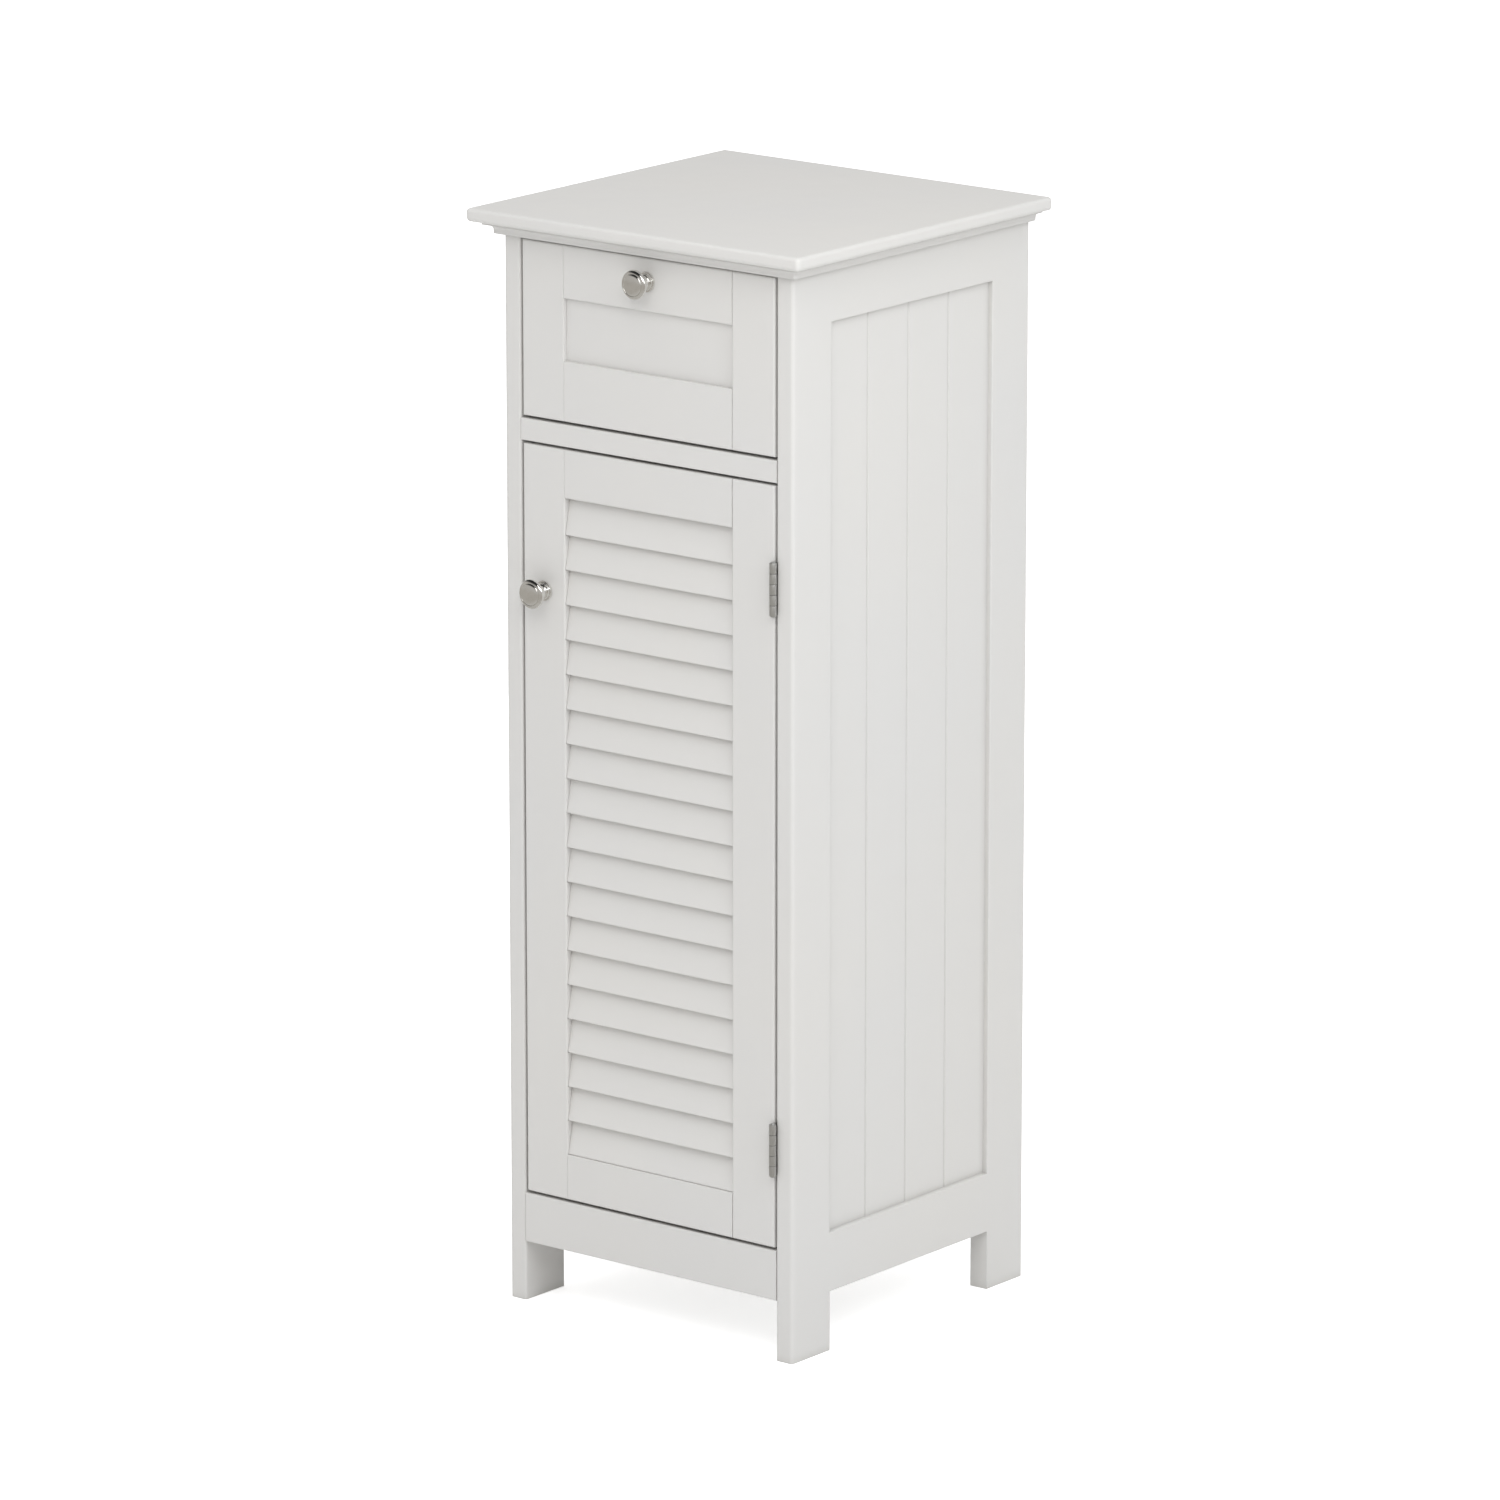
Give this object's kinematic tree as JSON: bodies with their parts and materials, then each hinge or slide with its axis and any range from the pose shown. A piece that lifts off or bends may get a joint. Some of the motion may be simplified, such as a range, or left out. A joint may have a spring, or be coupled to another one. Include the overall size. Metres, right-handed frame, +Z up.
{
  "type": "cabinet",
  "caption": "Tall narrow white cabinet on four legs with a moulded top, a panelled drawer over a louvred door, panelled sides, round chrome knobs and butt hinges on the right",
  "frame": {"origin": "on the floor under the middle of the top board's plan", "axes": "+Z up; -Y is the front with the drawer and the door; +X is the side that carries the door's hinges"},
  "size_m": [0.324, 0.314, 0.87],
  "materials": {
    "white_paint": "satin white paint on board",
    "drawer_paint": "satin white paint on board",
    "polished_chrome": "polished",
    "nickel_steel": "nickel plated, satin",
    "zinc_alloy": "die-cast, bare",
    "beech": "bare wood",
    "white_plastic": "moulded, matt"
  },
  "bodies": {
    "cabinet": {"top_panel": "white_paint", "left_side_panel": "white_paint", "right_side_panel": "white_paint", "divider_board": "white_paint", "front_apron": "white_paint", "bottom_panel": "white_paint", "back_panel": "white_paint", "adjustable_shelf": "white_paint", "shelf_pins": "nickel_steel", "left_drawer_runner": "white_plastic", "right_drawer_runner": "white_plastic", "cam_bolts": "nickel_steel", "cam_discs": "zinc_alloy", "wooden_dowels": "beech", "magnetic_catch": "white_plastic", "upper_hinge_cabinet_leaf": "nickel_steel", "lower_hinge_cabinet_leaf": "nickel_steel", "hinge_pins": "nickel_steel", "wood_screws": "nickel_steel"},
    "drawer": {"drawer_left_stile": "white_paint", "drawer_right_stile": "white_paint", "drawer_top_rail": "white_paint", "drawer_bottom_rail": "white_paint", "drawer_front_panel": "white_paint", "drawer_left_side": "drawer_paint", "drawer_right_side": "drawer_paint", "drawer_back": "drawer_paint", "drawer_bottom": "drawer_paint", "drawer_dowels": "beech", "drawer_knob": "polished_chrome", "drawer_knob_screw": "nickel_steel"},
    "door": {"door_left_stile": "white_paint", "door_right_stile": "white_paint", "door_top_rail": "white_paint", "door_bottom_rail": "white_paint", "louvre_slat_01": "white_paint", "louvre_slat_02": "white_paint", "louvre_slat_03": "white_paint", "louvre_slat_04": "white_paint", "louvre_slat_05": "white_paint", "louvre_slat_06": "white_paint", "louvre_slat_07": "white_paint", "louvre_slat_08": "white_paint", "louvre_slat_09": "white_paint", "louvre_slat_10": "white_paint", "louvre_slat_11": "white_paint", "louvre_slat_12": "white_paint", "louvre_slat_13": "white_paint", "louvre_slat_14": "white_paint", "louvre_slat_15": "white_paint", "louvre_slat_16": "white_paint", "louvre_slat_17": "white_paint", "louvre_slat_18": "white_paint", "louvre_slat_19": "white_paint", "door_knob": "polished_chrome", "door_knob_screw": "nickel_steel", "upper_hinge_door_leaf": "nickel_steel", "lower_hinge_door_leaf": "nickel_steel", "hinge_door_screws": "nickel_steel", "strike_plate": "nickel_steel"}
  },
  "joints": [
    {"name": "drawer_slide", "type": "slide", "parent": "cabinet", "child": "drawer", "axis": [0, -1, 0], "range_m": [0, 0.18]},
    {"name": "door_hinge", "type": "hinge", "parent": "cabinet", "child": "door", "pos_m": [0.124, -0.139, 0.3893], "axis": [0, 0, 1], "range_deg": [0, 170]}
  ]
}
